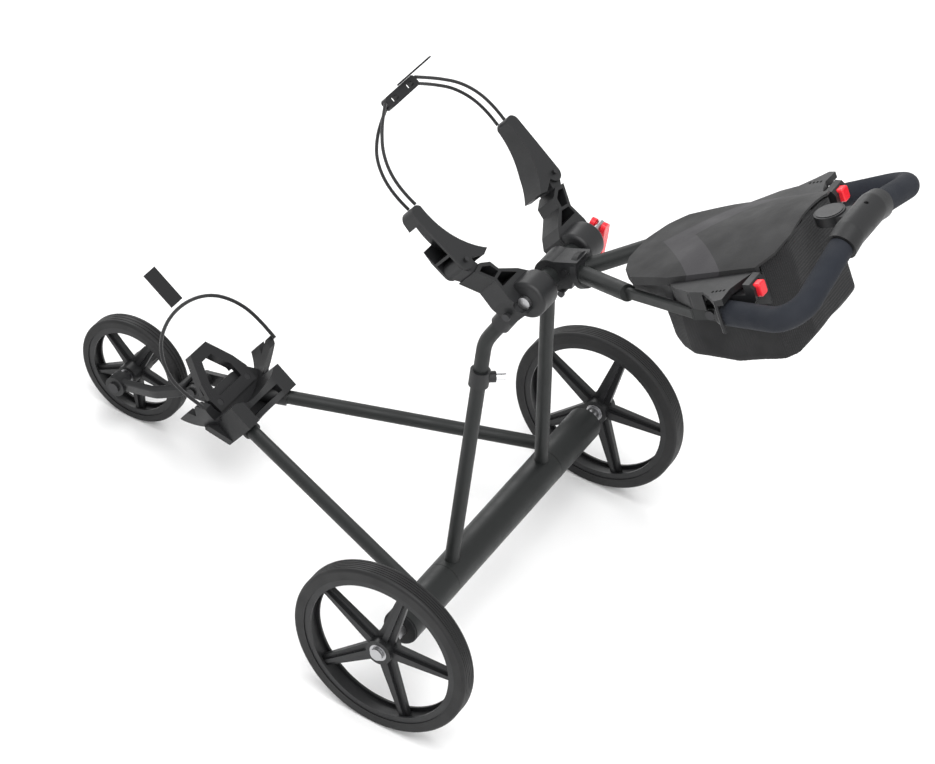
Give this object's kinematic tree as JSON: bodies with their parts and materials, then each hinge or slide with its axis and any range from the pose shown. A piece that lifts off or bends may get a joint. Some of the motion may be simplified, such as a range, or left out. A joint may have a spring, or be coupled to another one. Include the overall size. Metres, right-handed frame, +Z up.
{
  "type": "golf push cart",
  "caption": "Three-wheel folding push cart with a leaning bag cradle, elastic straps, a foam-covered handle and a storage console.",
  "frame": {"origin": "bottom centre of the bounding box", "axes": "+X towards the front wheel, +Y to the cart's left, +Z up"},
  "size_m": [1.2242, 0.698, 0.9835],
  "materials": {
    "painted_tube": "matte powder coat",
    "moulded_plastic": "fine texture",
    "satin_plastic": "satin",
    "accent_plastic": "satin",
    "steel": "brushed",
    "chrome_post": "polished",
    "core_tube": "satin",
    "tyre_rubber": "matte",
    "foam": "closed-cell foam",
    "elastic_cord": "woven elastic",
    "tag_rubber": "matte",
    "cover_fabric": "woven, printed pattern",
    "bag_fabric": "woven"
  },
  "bodies": {
    "base_frame": {"axle_sleeve_left": "painted_tube", "axle_sleeve_right": "painted_tube", "axle_bushes": "moulded_plastic", "rear_axle_rod": "steel", "lower_tube_left": "painted_tube", "lower_tube_right": "painted_tube", "lower_bracket": "moulded_plastic", "bag_base_hoop": "satin_plastic", "bracket_screws": "steel", "fork_pivot_pin": "steel", "lower_strap_cord": "elastic_cord", "lower_strap_label": "tag_rubber"},
    "mast": {"axle_center_tube": "painted_tube", "upright_left": "painted_tube", "upright_right": "painted_tube", "hub_barrel": "painted_tube", "hub_cross_rod": "steel", "cradle_arm_left": "moulded_plastic", "cradle_arm_right": "moulded_plastic", "cradle_bolts": "steel", "accessory_sleeve": "moulded_plastic", "accessory_stub": "chrome_post", "bungee_upper_left": "elastic_cord", "bungee_upper_right": "elastic_cord", "bungee_lower_left": "elastic_cord", "bungee_lower_right": "elastic_cord", "bungee_buckle": "satin_plastic", "bungee_tag": "tag_rubber"},
    "handle": {"handle_yoke": "moulded_plastic", "yoke_bolts": "steel", "handle_tube_left": "painted_tube", "handle_tube_right": "painted_tube", "console_frame": "moulded_plastic", "storage_bag": "bag_fabric", "pivot_bolts": "steel"},
    "lid": {"console_lid": "cover_fabric"},
    "grip": {"cheek_left": "moulded_plastic", "cheek_right": "moulded_plastic", "grip_core": "core_tube", "foam_grip_left": "foam", "foam_grip_right": "foam", "grip_clamp": "moulded_plastic", "round_cap": "satin_plastic"},
    "left_button": {"button_left": "accent_plastic"},
    "right_button": {"button_right": "accent_plastic"},
    "lever": {"cam_lever": "accent_plastic"},
    "left_pad": {"pad_left": "moulded_plastic"},
    "right_pad": {"pad_right": "moulded_plastic"},
    "rear_wheel_left": {"rear_tyre_left": "tyre_rubber", "rear_rim_left": "moulded_plastic", "rear_bearings_left": "steel"},
    "rear_wheel_right": {"rear_tyre_right": "tyre_rubber", "rear_rim_right": "moulded_plastic", "rear_bearings_right": "steel"},
    "front_wheel": {"front_tyre": "tyre_rubber", "front_rim": "moulded_plastic", "front_bearings": "steel"},
    "fork": {"front_fork": "moulded_plastic", "front_axle": "steel"},
    "knob": {"tracking_knob": "moulded_plastic"}
  },
  "joints": [
    {"name": "mast_fold", "type": "hinge", "parent": "base_frame", "child": "mast", "pos_m": [-0.14541, 0, 0.1455], "axis": [0, 1, 0], "range_deg": [0, 60]},
    {"name": "handle_fold", "type": "hinge", "parent": "mast", "child": "handle", "pos_m": [-0.17341, 0, 0.6615], "axis": [0, 1, 0], "range_deg": [-84, 0]},
    {"name": "grip_tilt", "type": "hinge", "parent": "handle", "child": "grip", "pos_m": [-0.46282, 0, 0.82445], "axis": [0, 1, 0], "range_deg": [-24, 0]},
    {"name": "lid_open", "type": "hinge", "parent": "handle", "child": "lid", "pos_m": [-0.29685, 0, 0.74846], "axis": [0, 1, 0], "range_deg": [0, 75]},
    {"name": "button_left_press", "type": "slide", "parent": "grip", "child": "left_button", "axis": [0.8746, 0, -0.4848], "range_m": [0, 0.004], "stiffness_N_per_m": 400},
    {"name": "button_right_press", "type": "slide", "parent": "grip", "child": "right_button", "axis": [0.8746, 0, -0.4848], "range_m": [0, 0.004], "stiffness_N_per_m": 400},
    {"name": "lever_open", "type": "hinge", "parent": "mast", "child": "lever", "pos_m": [-0.17341, -0.125, 0.6615], "axis": [-1, 0, 0], "range_deg": [0, 90]},
    {"name": "pad_left_swivel", "type": "hinge", "parent": "mast", "child": "left_pad", "pos_m": [-0.08822, 0.126, 0.71577], "axis": [-0.5373, 0, 0.8434], "range_deg": [-12, 18], "deforming": ["bungee_upper_left", "bungee_lower_left"]},
    {"name": "pad_right_swivel", "type": "hinge", "parent": "mast", "child": "right_pad", "pos_m": [-0.08822, -0.126, 0.71577], "axis": [-0.5373, 0, 0.8434], "range_deg": [-18, 12], "deforming": ["bungee_upper_right", "bungee_lower_right"]},
    {"name": "rear_left_spin", "type": "hinge", "parent": "base_frame", "child": "rear_wheel_left", "pos_m": [-0.14541, 0.3, 0.1455], "axis": [0, 1, 0], "continuous": true},
    {"name": "rear_right_spin", "type": "hinge", "parent": "base_frame", "child": "rear_wheel_right", "pos_m": [-0.14541, -0.3, 0.1455], "axis": [0, 1, 0], "continuous": true},
    {"name": "fork_fold", "type": "hinge", "parent": "base_frame", "child": "fork", "pos_m": [0.39459, 0, 0.128], "axis": [0, 1, 0], "range_deg": [0, 80]},
    {"name": "front_spin", "type": "hinge", "parent": "fork", "child": "front_wheel", "pos_m": [0.51659, 0, 0.095], "axis": [0, 1, 0], "continuous": true},
    {"name": "knob_turn", "type": "hinge", "parent": "fork", "child": "knob", "pos_m": [0.51659, 0.06, 0.095], "axis": [0, 1, 0], "range_deg": [-180, 180]}
  ]
}
